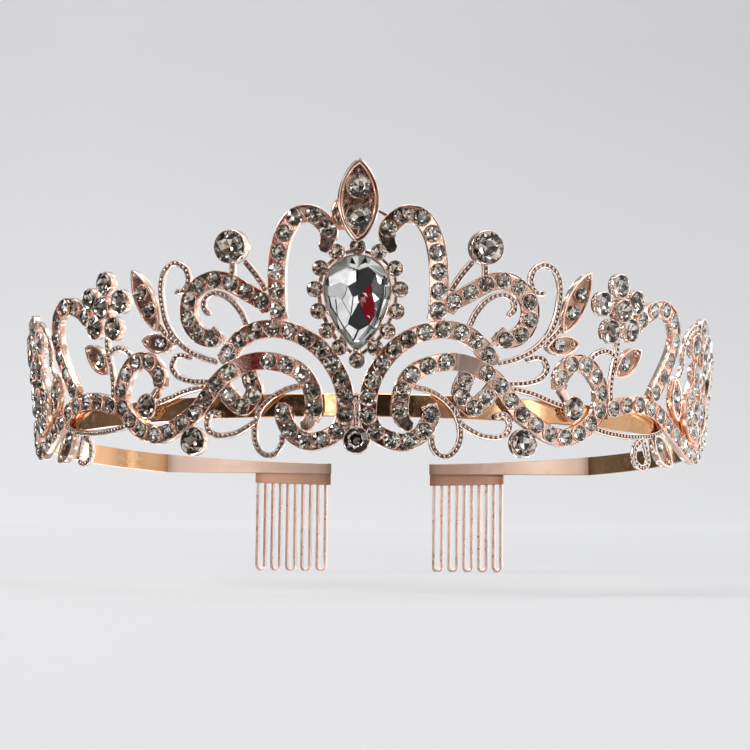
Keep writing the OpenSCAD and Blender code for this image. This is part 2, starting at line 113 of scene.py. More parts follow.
# Short bars from the wave's hook to its cup and from the C to the heart: two ends, half width and top
CHANNEL_BARS = {
    "s_scroll": ((42, 4.4), (43.6, 2.65), 0.75, -0.1),
    "c_scroll": ((28.4, 13.3), (25.6, 11.8), 0.4, -0.2)}
STONE_GROUPS = {
    "heart_stones": ["heart_scroll"], "upper_stones": ["arch", "c_scroll"],
    "s_scroll_stones": ["s_scroll", "small_loop"],
    "side_stones": ["base_rail", "teardrop_loop", "rear_loop", "side_scroll"]}

# Centre lines of the beaded wires on the right
WIRES = {
    "upper_tendrils": [
        [(21.8, 28), (19.6, 25.2), (17.6, 22)],
        [(24.2, 27.8), (24.4, 24.6)],
        [(21.6, 15.4), (23, 18.4), (25.2, 20.8), (28, 21.9), (30.3, 20.9), (30.6, 19.2), (29.4, 17.8)],
        [(37.2, 22.8), (35, 22.9), (33.8, 24.8), (34.4, 27.2), (36.9, 28.4), (39.4, 26.9), (40.4, 23.8),
         (40.2, 20), (39.4, 16.8), (37.6, 13.8), (34.6, 11.2), (31.2, 9.5), (28, 8.5)],
        [(41.6, 17), (39.8, 14.9), (37.2, 12.6)]],
    "lower_tendrils": [
        [(33.8, 9.6), (35.6, 10.2), (37.6, 10), (38.6, 8.2), (37.2, 6.2), (34, 5.1), (29.6, 4.7)],
        [(30.6, 4), (35.5, 3.2), (39, 2.2), (43, 1.2)],
        [(19.6, 0), (20, -2.8), (22.5, -4.6), (25, -5.5), (28, -5.7), (30.2, -4.8), (30.7, -2.8),
         (29.5, -1.2), (27.5, -1.8)],
        [(10, 3.7), (14, 2.8), (17, 1.2), (19.2, -1), (20.3, -3.8), (20.2, -7), (18.6, -9.4),
         (16.4, -9.7), (14.9, -8), (14.6, -5.6)]],
    "side_tendrils": [
        [(56, 15.6), (56, 13), (55.3, 9.5), (55, 6), (55.4, 2.6)],
        [(55.8, 12), (53, 13), (50.2, 12), (48.8, 10.6)],
        [(49.6, -2.2), (54, -3.1), (60, -3.4), (66, -3), (71, -2.2), (74.6, -0.6)],
        [(66.4, -3.4), (63.6, -5.4), (63.4, -8.2), (66, -9.4), (68.2, -7.8), (66.4, -3.4)],
        [(79, 9.8), (80.8, 12.6), (80.4, 15.8), (81.6, 19), (84.6, 21.4), (87, 22)],
        [(108, 3), (110.6, 6.4), (110.2, 10.2), (107.4, 11.6)]]}

# Pointed settings: middle, length, width, angle from the face's s axis, stones (place, diameter)
LEAVES = {
    "leaf_upper": [((44.3, 21.7), 14.6, 4.9, 66, [((45.1, 23.3), 3), ((43.3, 19.7), 3)])],
    "leaf_middle": [((41.7, 13), 8.2, 4, 12, [((40.6, 13), 2.9)])],
    "leaf_lower": [((59.1, 11.2), 10, 4.7, 40, [((58.3, 10.9), 2.9)])],
    "side_leaves": [((78.5, 5.9), 9.6, 4.6, 110, [((78.2, 6.4), 2.9)]),
                    ((73.4, -5.4), 9.6, 4.8, -36, [((71.8, -4.2), 2.9)])]}
LEAF_FLOOR = -0.6
LEAF_WALL = 0.42
# Round settings: middle, stone diameter, height of the rim above the face
ROUND_CUPS = [((24.1, 30.7), 6.2, 1), ((33.7, -6.6), 5.2, 0), ((45.2, 0.9), 4.6, 0), ((91.2, 4.6), 4.6, 0)]
FLOWERS = {"flower_front": (55.8, 21.3), "flower_rear": (91, 17)}
PETAL_D = 4.5
PETAL_RING = 4.9
PETAL_TURN = 98
PISTIL_D = 4.3
PISTIL_RIM = 0.8

# The centre line
PEAR_Z = 22
PEAR_HALF_W = 6.3
PEAR_TAIL = 11.6
PEAR_SIDE_R = 16
HALO_D = 2.9
HALO_SHIFT = 4
HALO = [(0, 30.1), (3.9, 29.1), (7, 26), (8.05, 22), (7.4, 17.8), (5.8, 14), (3.4, 10.8), (0, 8.3)]
CREST_Z = 38.8
CREST_L = 16.6
CREST_W = 7.8
CREST_RIM = 1.8
CREST_FLOOR = 0.75
CREST_YAW = 7
CREST_STONES = [(41.6, 4.5), (35.7, 4.7)]
CREST_BALLS = [(0, 2.35), (0, -2.35), (5.95, 0), (-5.35, 0), (-6.35, 0)]
CREST_LOBE = (-2.9, 36.4)
CREST_LINK = ((3.4, 37.2), (5.8, 35.9))
DROP = ((0, -7), 4.8, 0)
PEBBLE = (0, 1)
# The neck from the pebble to the drop: height and half width
NECK = [(0.4, 0.8), (-1.5, 1.1), (-3.2, 1.1), (-5, 0.8)]

# Combs
TEETH = 5
TOOTH_PITCH = 3.85
TOOTH_GAP = 1
TOOTH_D = 1
TOOTH_TIP = 25.3
COMB_TOP = 1.3
COMB_LOW = -3.2
SPINE_T = 0.6


# ---- the curved face ----
def lean(z):
    """How far the face leans out at a height: it stands upright low down and flares above."""
    return FLARE * (z + math.hypot(z, LEAN_BLEND) - LEAN_BLEND) / 2


def tilt(z):
    """The face's angle from upright at a height."""
    return math.atan(FLARE * (1 + z / math.hypot(z, LEAN_BLEND)) / 2)


def place(p, out=0.0):
    """The point of the face at (s, z), raised by out."""
    a, b = p[0] / FACE_R, tilt(p[1])
    r = FACE_R + lean(p[1]) + out * math.cos(b)
    return Vector((r * math.sin(a), -r * math.cos(a), p[1] - out * math.sin(b)))


def on_face(p, spin=0.0):
    """Where a setting sits: X along the face, Y up it and Z out of it, turned by spin degrees."""
    a, b = p[0] / FACE_R, tilt(p[1])
    along = Vector((math.cos(a), math.sin(a), 0))
    up = Vector((math.sin(a) * math.sin(b), -math.cos(a) * math.sin(b), math.cos(b)))
    axes = Matrix((along, up, along.cross(up))).transposed().to_4x4()
    return Matrix.Translation(place(p)) @ axes @ Matrix.Rotation(math.radians(spin), 4, "Z")


# ---- smooth lines ----
def smooth(points, n=8):
    """A Catmull-Rom curve through flat points."""
    p = [Vector(q) for q in points]
    p = [2 * p[0] - p[1]] + p + [2 * p[-1] - p[-2]]
    out = []
    for a, b, c, d in zip(p, p[1:], p[2:], p[3:]):
        for k in range(n):
            t = k / n
            out.append((2 * b + (c - a) * t + (2 * a - 5 * b + 4 * c - d) * t ** 2
                        + (3 * b - a - 3 * c + d) * t ** 3) / 2)
    return out + [p[-2]]


class Line:
    """A smooth flat line, measured along its length."""

    def __init__(self, points):
        self.points = smooth(points)
        self.run = [0.0]
        for a, b in zip(self.points, self.points[1:]):
            self.run.append(self.run[-1] + (b - a).length)
        self.length = self.run[-1]

    def at(self, d):
        """The point at a distance from the start, on past either end too."""
        i = max(0, min(bisect(self.run, d) - 1, len(self.points) - 2))
        a, b = self.points[i], self.points[i + 1]
        return a + (b - a) * ((d - self.run[i]) / (self.run[i + 1] - self.run[i]))

    def beside(self, d, u):
        """The point at a distance from the start and u to the left of the line."""
        h = (self.at(d + 0.15) - self.at(d - 0.15)).normalized()
        return self.at(d) + Vector((-h.y, h.x)) * u

    def steps(self, pitch, first=0.0, last=0.0):
        """Equally spaced distances between two bare ends."""
        whole = self.length - first - last
        n = max(1, round(whole / pitch))
        return [first + whole * k / n for k in range(n + 1)]


def spaced(a, b, n):
    """A number of values, equally spaced from a to b."""
    return [a + (b - a) * k / (n - 1) for k in range(n)]


def around(n):
    """Equally spaced angles of a full turn."""
    return [2 * math.pi * k / n for k in range(n)]


def rounding(distance, radius):
    """Height of a quarter circle: 0 at a line's end and 1 from one radius on."""
    t = max(0.0, min(distance / radius, 1.0))
    return math.sqrt(1 - (1 - t) ** 2)


# ---- meshes ----
class Shape:
    """Points in millimetres and faces, each with a mark: the number of its material."""

    def __init__(self):
        self.points = []
        self.faces = []
        self.marks = []

    def add(self, points, faces, mark=0):
        """Adds points and faces of one mark."""
        base = len(self.points)
        self.points += [Vector(p) for p in points]
        self.faces += [[base + i for i in f] for f in faces]
        self.marks += [mark] * len(faces)

    def join(self, other, matrix=Matrix.Identity(4), shift=0):
        """Adds another shape, moved by the matrix and with its marks raised by shift."""
        base = len(self.points)
        self.points += [matrix @ p for p in other.points]
        self.faces += [[base + i for i in f] for f in other.faces]
        self.marks += [m + shift for m in other.marks]

    def skin(self, rings, caps=(True, True), mark=0):
        """Joins equal rings of points into one skin, with a face over each end."""
        m = len(rings[0])
        faces = []
        for i in range(len(rings) - 1):
            for j in range(m):
                k = (j + 1) % m
                faces.append([i * m + j, i * m + k, (i + 1) * m + k, (i + 1) * m + j])
        if caps[0]:
            faces.append(list(range(m))[::-1])
        if caps[1]:
            faces.append([(len(rings) - 1) * m + j for j in range(m)])
        self.add([p for ring in rings for p in ring], faces, mark)

    def mirrored(self):
        out = Shape()
        out.points = [Vector((-p.x, p.y, p.z)) for p in self.points]
        out.faces = [f[::-1] for f in self.faces]
        out.marks = list(self.marks)
        return out


def turned(profile, sides, caps=(False, False)):
    """A solid of revolution about Z from (radius, height) points."""
    shape = Shape()
    shape.skin([[(r * math.cos(a), r * math.sin(a), h) for a in around(sides)] for r, h in profile], caps)
    return shape


def flat_bar(p, q, half, top, start=0.0):
    """A short bar from a distance past one flat point to another, its top edges bevelled."""
    p, q = Vector(p), Vector(q)
    h = (q - p).normalized()
    p = p + h * start
    across = Vector((-h.y, h.x))
    section = [(-half, -CAST_D + 0.1), (half, -CAST_D + 0.1), (half, top - 0.15), (0.6 * half, top),
               (-0.6 * half, top), (-half, top - 0.15)]
    bar = Shape()
    bar.skin([[place(p.lerp(q, k / 4) + across * u, v) for u, v in section] for k in range(5)])
    return bar


def piece(name, shape, materials, nodes, sharp):
    """Makes the object of a shape, standing for CAD nodes. Edges over sharp degrees stay crisp, and with 0
    every face is flat."""
    mesh = bpy.data.meshes.new(name)
    mesh.from_pydata([p * MM for p in shape.points], [], shape.faces)
    for m in materials:
        mesh.materials.append(m)
    for polygon, mark in zip(mesh.polygons, shape.marks):
        polygon.material_index = mark
        polygon.use_smooth = sharp > 0
    if sharp:
        mesh.set_sharp_from_angle(angle=math.radians(sharp))
    mesh.validate()
    obj = bpy.data.objects.new(name, mesh)
    bpy.context.scene.collection.objects.link(obj)
    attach(obj, "root")
    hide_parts(*nodes)


def both_sides(name, shape, materials, sharp):
    """The right piece and its mirror image on the left."""
    piece("fine_" + name + "_right", shape, materials, [name + "_right"], sharp)
    piece("fine_" + name + "_left", shape.mirrored(), materials, [name + "_left"], sharp)


# ---- materials ----
def new_material(name):
    """A material with one surface shader."""
    mat = bpy.data.materials.new(name)
    mat.use_nodes = True
    nodes = mat.node_tree.nodes
    nodes.clear()
    out = nodes.new("ShaderNodeOutputMaterial")
    shader = nodes.new("ShaderNodeBsdfPrincipled")
    mat.node_tree.links.new(shader.outputs[0], out.inputs[0])
    return mat, nodes, mat.node_tree.links, shader


def noise(nodes, links, scale, detail=3):
    """Noise in the object's own space, scale in waves per metre."""
    coords = nodes.new("ShaderNodeTexCoord")
    tex = nodes.new("ShaderNodeTexNoise")
    tex.inputs["Scale"].default_value = scale
    tex.inputs["Detail"].default_value = detail
    links.new(coords.outputs["Object"], tex.inputs["Vector"])
    return tex


def ramp(nodes, links, source, low, high, from_min=0.3, from_max=0.7):
    """Runs from low to high while the source runs between its two limits, and holds beyond them."""
    node = nodes.new("ShaderNodeMapRange")
    node.inputs["From Min"].default_value = from_min
    node.inputs["From Max"].default_value = from_max
    node.inputs["To Min"].default_value = low
    node.inputs["To Max"].default_value = high
    links.new(source, node.inputs["Value"])
    return node.outputs[0]


def mixed(nodes, links, factor, a, b):
    """A mix of two colours, each a tuple or the output of another node."""
    node = nodes.new("ShaderNodeMix")
    node.data_type = "RGBA"
    links.new(factor, node.inputs["Factor"])
    for name, colour in (("A", a), ("B", b)):
        if isinstance(colour, tuple):
            node.inputs[name].default_value = (*colour, 1)
        else:
            links.new(colour, node.inputs[name])
    return node.outputs["Result"]


def plated_metal(name, light, deep, rough, grain):
    """Rose gold plate: two tones in soft patches, painted shade darkening the crevices, with a fine cast
    grain.
    Drawn wire has grain 0."""
    mat, nodes, links, shader = new_material(name)
    shader.inputs["Metallic"].default_value = 1
    patches = noise(nodes, links, 160)
    tone = mixed(nodes, links, ramp(nodes, links, patches.outputs[0], 0.25, 1), deep, light)
    # Painted shade: faces of low pointiness, in crevices and hollows, get a darker base colour
    hollow = nodes.new("ShaderNodeNewGeometry")
    painted_shade_mask = ramp(nodes, links, hollow.outputs["Pointiness"], 0, 1, 0.40, 0.49)
    shade = mixed(nodes, links, painted_shade_mask, tuple(0.45 * c for c in deep), tone)
    links.new(shade, shader.inputs["Base Color"])
    wear = noise(nodes, links, 900)
    links.new(ramp(nodes, links, wear.outputs[0], rough - 0.05, rough + 0.09), shader.inputs["Roughness"])
    cast = noise(nodes, links, 2600, 2)
    bump = nodes.new("ShaderNodeBump")
    bump.inputs["Strength"].default_value = grain
    bump.inputs["Distance"].default_value = 0.00004
    links.new(cast.outputs[0], bump.inputs["Height"])
    links.new(bump.outputs[0], shader.inputs["Normal"])
    return mat


def cut_glass(name, tint):
    """Clear glass with a faint film on it."""
    mat, nodes, links, shader = new_material(name)
    shader.inputs["Base Color"].default_value = (*tint, 1)
    shader.inputs["Transmission Weight"].default_value = 1
    shader.inputs["IOR"].default_value = 1.56
    film = noise(nodes, links, 700)
    links.new(ramp(nodes, links, film.outputs[0], 0.0, 0.012), shader.inputs["Roughness"])
    return mat


def foil(name, light, deep):
    """The mirror foil behind a stone, with darker patches: painted dark reflection."""
    mat, nodes, links, shader = new_material(name)
    shader.inputs["Metallic"].default_value = 1
    patches = noise(nodes, links, 450, 1)
    tone = mixed(nodes, links, ramp(nodes, links, patches.outputs[0], 0, 1, 0.35, 0.6), deep, light)
    links.new(tone, shader.inputs["Base Color"])
    film = noise(nodes, links, 1200)
    links.new(ramp(nodes, links, film.outputs[0], 0.015, 0.06), shader.inputs["Roughness"])
    return mat


cast_metal = plated_metal("rose_gold_cast", (1.0, 0.81, 0.71), (0.9, 0.61, 0.48), rough=0.13, grain=0.35)
bead_metal = plated_metal("rose_gold_beads", (1.0, 0.86, 0.77), (0.93, 0.7, 0.59), rough=0.14, grain=0.2)
band_metal = plated_metal("rose_gold_strip", (0.99, 0.67, 0.43), (0.96, 0.47, 0.19), rough=0.1, grain=0.1)
comb_metal = plated_metal("rose_gold_wire", (0.97, 0.8, 0.73), (0.88, 0.66, 0.58), rough=0.3, grain=0)
spine_metal = plated_metal("rose_gold_spine", (0.97, 0.66, 0.49), (0.87, 0.5, 0.34), rough=0.34, grain=0.04)
arm_metal = plated_metal("rose_gold_arm", (0.97, 0.77, 0.66), (0.9, 0.63, 0.49), rough=0.38, grain=0.1)
crystal = cut_glass("crystal_glass", (0.94, 0.925, 0.9))
crystal_foil = foil("crystal_foil", (0.98, 0.95, 0.91), (0.75, 0.68, 0.62))
# Dark warm foil facets: painted dark reflection and shade in the stones
painted_dark_foil = foil("painted_dark_foil", (0.33, 0.27, 0.22), (0.12, 0.09, 0.07))
pear_glass = cut_glass("pear_glass", (0.985, 0.985, 0.975))
pear_foil = foil("pear_foil", (0.99, 0.985, 0.975), (0.88, 0.87, 0.86))
# A rough greenish grey foil for the pear's edge facets: painted light, standing for light through the
# unfoiled edge
pear_edge_backlight = plated_metal("pear_edge_foil", (0.74, 0.76, 0.68), (0.5, 0.52, 0.45), rough=0.35, grain=0.1)
# A darker copy of the rose gold for sunk floors, grooves and the land between stones: painted shade. Mark 1
# of a metal piece takes it.
painted_shade_metal = plated_metal("rose_gold_painted_shade", (0.9, 0.62, 0.49), (0.6, 0.31, 0.21), rough=0.13, grain=0.5)
METALS = [cast_metal, painted_shade_metal]
STONE_MATERIALS = [crystal, crystal_foil, painted_dark_foil]


# ---- stones ----
def brilliant(d, depth=None, painted_dark_share=DARK_SHARE):
    """A round brilliant about Z, girdle at 0: a glass crown (mark 0) over a foil back in two rows of
    facets, bright (mark 1) or dark (mark 2) at random; the dark foil is painted dark reflection and shade.
    Large stones show a darker star of painted reflection."""
    r = d / 2
    table, high = 0.56 * r, 0.3 * r
    depth = depth or 0.8 * r
    shape = Shape()
    ring = [(math.cos(math.pi * k / 8), math.sin(math.pi * k / 8)) for k in range(16)]
    top = [(table * x, table * y, high) for x, y in ring[::2]]
    upper = [(r * x, r * y, 0.03 * r) for x, y in ring]
    lower = [(r * x, r * y, -0.03 * r) for x, y in ring]
    faces = [list(range(8))]
    for k in range(8):
        n = (k + 1) % 8
        a, b, e = 8 + 2 * k, 9 + 2 * k, 8 + (2 * k + 15) % 16
        faces += [[k, b, n], [k, a, b], [k, e, a]]
    for k in range(16):
        faces.append([8 + k, 24 + k, 24 + (k + 1) % 16, 8 + (k + 1) % 16])
    shape.add(top + upper + lower, faces, 0)
    turn = math.pi / 8
    middle = [(0.5 * r * math.cos(a), 0.5 * r * math.sin(a), -0.62 * depth)
              for a in (2 * turn * k + turn for k in range(8))]
    back = [(r * x, r * y, -0.03 * r) for x, y in ring] + middle + [(0, 0, -depth)]
    for k in range(8):
        n = (k + 1) % 8
        four = ([2 * k, 16 + k, 2 * k + 1], [2 * k + 1, 16 + k, 2 * n], [2 * n, 16 + k, 16 + n],
                [16 + k, 24, 16 + n])
        for face, star in zip(four, STAR_ODDS):
            odds = painted_dark_share + (star if d > STAR_FROM_D else 0)
            shape.add([back[i] for i in face], [[0, 1, 2]], 2 if RNG.random() < odds else 1)
    return shape


def set_stone(shape, p, d, out=0.0, depth=None):
    """Drops a stone into its seat, turned and tipped a little at random. The share of dark foil facets
    falls from left to right: painted shade on the left."""
    painted_dark_share = DARK_SHARE - DARK_FALL * max(DARK_ENDS[0], min(DARK_ENDS[1], p[0]))
    spin = RNG.uniform(0, 360)
    tip = Matrix.Rotation(math.radians(RNG.uniform(-2.5, 2.5)), 4, "X")
    tip = tip @ Matrix.Rotation(math.radians(RNG.uniform(-2.5, 2.5)), 4, "Y")
    seat = Matrix.Translation((0, 0, out - SEAT))
    shape.join(brilliant(d, depth, painted_dark_share), on_face(p) @ seat @ tip @ Matrix.Rotation(spin, 4, "Z"))


def set_pair(shape, p, d, out=0.0, depth=None):
    """A stone on the right and its twin on the left."""
    set_stone(shape, p, d, out, depth)
    set_stone(shape, (-p[0], p[1]), d, out, depth)


def stone_piece(name, stones):
    """The piece of a group of stones, with crisp facets."""
    piece("fine_" + name, stones, STONE_MATERIALS, [name], 0)


# ---- stone channels ----
# Heights from the face, and the width of the strip's edge
WELL = -1.45
LAND = -0.34
BARE_FLOOR = -0.16
LIP = 0.14


def stone_places(name):
    """The places of a channel's stones."""
    points, runs = CHANNELS[name]
    line = Line(points)
    return [line.at(d) for a, b, n in runs for d in spaced(a, b, n)]


def closes_row(face, m):
    """Whether a face joins the last and the first points of two rings of m, as a groove's floor does.
    It tells only where the rings are numbered from a multiple of m."""
    return len(face) == 4 and max(face) - min(face) == 2 * m - 1 and min(face) % m == 0


def land(shape, line, low, high, low_r, high_r):
    """The raised land between two round wells, or between a well and a bare stretch where r is 0."""
    half = HALF_W - LIP + 0.02
    rings = []
    for k in range(13):
        u = half * (k / 6 - 1)
        d0 = low + math.sqrt(max(low_r ** 2 - u * u, 0))
        d1 = max(high - math.sqrt(max(high_r ** 2 - u * u, 0)), d0 + 0.02)
        rings.append([place(line.beside(d, u), v) for d, v in
                      ((d0, WELL), (d0, LAND), (d1, LAND), (d1, WELL))])
    # The land takes mark 1, the darker metal: painted shade between the stones
    shape.skin(rings, mark=1)


def channel(name):
    """The grooved strip of one scroll, with a thin collar round each stone."""
    points, runs = CHANNELS[name]
    line = Line(points)
    r = STONE_D / 2
    first, last = runs[0][0], line.length - runs[-1][1]
    shape = Shape()
    rings, wells = [], []
    # The strip narrows over its bare ends and closes in a small round. Its floor is sunk along the stones.
    for d in line.steps(0.45):
        bare = min(d / first, (line.length - d) / last, 1)
        round_end = rounding(min(d, line.length - d), 0.7)
        w = HALF_W * (0.6 + 0.4 * bare) * (0.15 + 0.85 * round_end)
        g = max(w - LIP, 0.3 * w)
        sunk = any(a - r < d < b + r for a, b, _ in runs)
        floor = WELL if sunk else BARE_FLOOR
        section = [(-g, floor), (-g, -0.08), (-g - 0.02, -0.02), (-w + 0.1, 0), (-w + 0.04, -0.03),
                   (-w, -0.12), (-w, -CAST_D + 0.14), (-w + 0.12, -CAST_D), (w - 0.12, -CAST_D),
                   (w, -CAST_D + 0.14), (w, -0.12), (w - 0.04, -0.03), (w - 0.1, 0), (g + 0.02, -0.02),
                   (g, -0.08), (g, floor)]
        rings.append([place(line.beside(d, u), v) for u, v in section])
        wells += [sunk] * len(section)
    shape.skin(rings)
    m = len(rings[0])
    # The sunk floor under the stones takes mark 1, the darker metal: painted shade in the groove
    shape.marks = [1 if sunk and closes_row(f, m) else 0 for sunk, f in zip(wells, shape.faces)]
    if name in CHANNEL_BARS:
        shape.join(flat_bar(*CHANNEL_BARS[name]))
    reach = r + 0.1
    collar = turned([(r + 0.16, -0.45), (r + 0.16, -0.08), (r + 0.1, 0.02), (r + 0.03, 0.03),
                     (r - 0.02, -0.06), (r - 0.02, -0.5)], 28)
    for a, b, n in runs:
        steps = spaced(a, b, n)
        for d0, d1 in zip(steps, steps[1:]):
            land(shape, line, d0, d1, reach, reach)
        land(shape, line, a - r - 0.4, a, 0, reach)
        land(shape, line, b, b + r + 0.4, reach, 0)
        for d in steps:
            shape.join(collar, on_face(line.at(d)))
    return shape


for name in CHANNELS:
    both_sides(name, channel(name), METALS, 40)

for group, names in STONE_GROUPS.items():
    stones = Shape()
    for name in names:
        for p in stone_places(name):
            set_pair(stones, p, STONE_D)
    stone_piece(group, stones)


# ---- beaded wires ----
def ball(r):
    """A small ball about its own middle."""
    profile = [(r * math.sin(math.pi * k / 5), -r * math.cos(math.pi * k / 5)) for k in range(1, 5)]
    return turned(profile, 10, (True, True))


def beaded_wire(points, shape):
    """Adds a flat wire with two smooth edges and a row of small beads between them."""
    line = Line(points)
    rings = []
    for d in line.steps(0.4):
        k = 0.4 + 0.6 * rounding(min(d, line.length - d), 0.4)
        section = [(-0.35, -0.85), (-0.35, -0.47), (-0.41, -0.42), (-0.52, -0.42), (-0.6, -0.52),
                   (-0.6, -1.15), (-0.5, -1.3), (0.5, -1.3), (0.6, -1.15), (0.6, -0.52), (0.52, -0.42),
                   (0.41, -0.42), (0.35, -0.47), (0.35, -0.85)]
        rings.append([place(line.beside(d, u * k), v) for u, v in section])
    shape.skin(rings)
    m = len(rings[0])
    # The groove floor between the edges takes mark 1, the darker metal: painted shade
    shape.marks = [1 if closes_row(f, m) else mark for f, mark in zip(shape.faces, shape.marks)]
    bead = turned([(0.2, 0.12), (0.31, 0.06), (0.35, -0.04), (0.36, -0.4)], 10, (True, False))
    for d in line.steps(1, 0.5, 0.5):
        shape.join(bead, on_face(line.at(d)) @ Matrix.Translation((0, 0, -0.5)))


for name, lines in WIRES.items():
    wires = Shape()
    for points in lines:
        beaded_wire(points, wires)
    both_sides(name, wires, [bead_metal, painted_shade_metal], 50)


# ---- cups, leaves and flowers ----
OVAL_STEPS = 16
OVAL_REACH = 0.965


def cup(d, rim, wall=0.25):
    """A round cup from the back of the casting to its rim, with a bright lip."""
    r = d / 2
    out = r + wall
    return turned([(0.01, -CAST_D), (out - 0.12, -CAST_D), (out, -CAST_D + 0.15), (out, rim - 0.16),
                   (out - 0.05, rim - 0.02), (r + wall / 2, rim + 0.03), (r + 0.04, rim),
                   (r - 0.03, rim - 0.12), (r - 0.03, rim - 0.7), (0.3 * r, rim - 1.42),
                   (0.01, rim - 1.42)], 36)


def oval(l, w, grow=0.0):
    """Outline of a pointed oval of length l and width w, grown all round, its tips a little blunt."""
    r = (l * l + w * w) / (4 * w)
    c = r - w / 2
    e = math.acos(c / (r + grow)) * OVAL_REACH
    out = []
    for side in (1, -1):
        for k in range(OVAL_STEPS):
            a = -e + 2 * e * k / OVAL_STEPS
            out.append((side * (r + grow) * math.sin(a), side * ((r + grow) * math.cos(a) - c)))
    return out[::-1]


def pointed_skin(l, w, steps):
    """A pointed oval's wall from (growth, height) steps, with its back and a floor in the darker metal of
    mark 1, painted shade.
    """
    local = Shape()
    local.skin([[(x, y, v) for x, y in oval(l, w, g)] for g, v in steps])
    local.marks[-1] = 1
    return local


def pointed_setting(at, l, w, spin, stones):
    """A leaf: bevelled wall, sunk floor, collars for its stones and a bead at each tip that has room."""
    local = pointed_skin(l, w, [
        (-0.12, -CAST_D), (0, -CAST_D + 0.12), (0, -0.12), (-0.06, -0.02), (-0.14, 0),
        (-LEAF_WALL + 0.08, -0.02), (-LEAF_WALL, -0.12), (-LEAF_WALL - 0.06, LEAF_FLOOR)])
    shape = Shape()
    shape.join(local, on_face(at, spin))
    for p, d in stones:
        r = d / 2
        shape.join(turned([(r + 0.16, LEAF_FLOOR - 0.1), (r + 0.16, -0.25), (r + 0.08, -0.14), (r, -0.16),
                           (r - 0.04, -0.3), (r - 0.04, LEAF_FLOOR - 0.1)], 28), on_face(p))
    bead = ball(0.42)
    ring = turned([(0.74, LEAF_FLOOR - 0.1), (0.7, LEAF_FLOOR + 0.16), (0.6, LEAF_FLOOR + 0.16),
                   (0.56, LEAF_FLOOR - 0.1)], 20)
    turn = math.radians(spin)
    for side in (1, -1):
        tip = Vector(at) + side * (l / 2 - 1.6) * Vector((math.cos(turn), math.sin(turn)))
        if all((tip - Vector(p)).length > d / 2 + 0.4 for p, d in stones):
            shape.join(bead, Matrix.Translation(place(tip, LEAF_FLOOR + 0.2)))
            shape.join(ring, on_face(tip))
    return shape


leaf_stones = Shape()
for name, leaves in LEAVES.items():
    shape = Shape()
    for at, l, w, spin, stones in leaves:
        shape.join(pointed_setting(at, l, w, spin, stones))
        for p, d in stones:
            set_pair(leaf_stones, p, d + 0.1, 0.02, 0.55)
    both_sides(name, shape, METALS, 40)
stone_piece("leaf_stones", leaf_stones)

flower_stones = Shape()
for name, (s, z) in FLOWERS.items():
    shape = Shape()
    for k in range(5):
        a = math.radians(PETAL_TURN + 72 * k)
        p = (s + PETAL_RING * math.cos(a), z + PETAL_RING * math.sin(a))
        shape.join(cup(PETAL_D, 0), on_face(p))
        set_pair(flower_stones, p, PETAL_D, 0, 1.2)
    shape.join(cup(PISTIL_D, PISTIL_RIM), on_face((s, z)))
    set_pair(flower_stones, (s, z), PISTIL_D, PISTIL_RIM, 1.2)
    both_sides(name, shape, METALS, 40)
stone_piece("flower_stones", flower_stones)

cups = Shape()
round_stones = Shape()
for p, d, rim in ROUND_CUPS:
    cups.join(cup(d, rim), on_face(p))
    set_pair(round_stones, p, d, rim, 1.3)
both_sides("round_cups", cups, METALS, 40)
stone_piece("round_stones", round_stones)


# ---- the centre line ----
def pear(grow=0.0, round_n=24, side_n=12):
    """Outline of the pear, round end up, about its widest point."""
    k = PEAR_SIDE_R - PEAR_HALF_W
    rise = math.asin((PEAR_SIDE_R ** 2 - k * k - PEAR_TAIL ** 2) / (2 * PEAR_TAIL * k))
    cx, cy, r = k * math.cos(rise), k * math.sin(rise), PEAR_SIDE_R + grow
    drop = math.acos(cx / r)
    a0 = PEAR_HALF_W + grow
    out = []
    for i in range(round_n + 1):
        a = -rise + (math.pi + 2 * rise) * i / round_n
        out.append((a0 * math.cos(a), a0 * math.sin(a)))
    for i in range(1, side_n + 1):
        a = rise + (drop - rise) * i / side_n
        out.append((cx - r * math.cos(a), cy - r * math.sin(a)))
    for i in range(side_n - 1, 0, -1):
        a = rise + (drop - rise) * i / side_n
        out.append((r * math.cos(a) - cx, cy - r * math.sin(a)))
    return out


def pear_setting():
    """The raised bezel of the pear, with a rounded rim."""
    steps = [(0.25, -CAST_D), (0.4, -CAST_D + 0.15), (0.38, 0.3), (0.32, 0.42), (0.2, 0.46), (0.05, 0.4),
             (0, 0.25), (-0.05, -0.7), (-1.2, -1.0)]
    local = Shape()
    local.skin([[(x, y, v) for x, y in pear(g)] for g, v in steps])
    shape = Shape()
    shape.join(local, on_face((0, PEAR_Z)))
    return shape


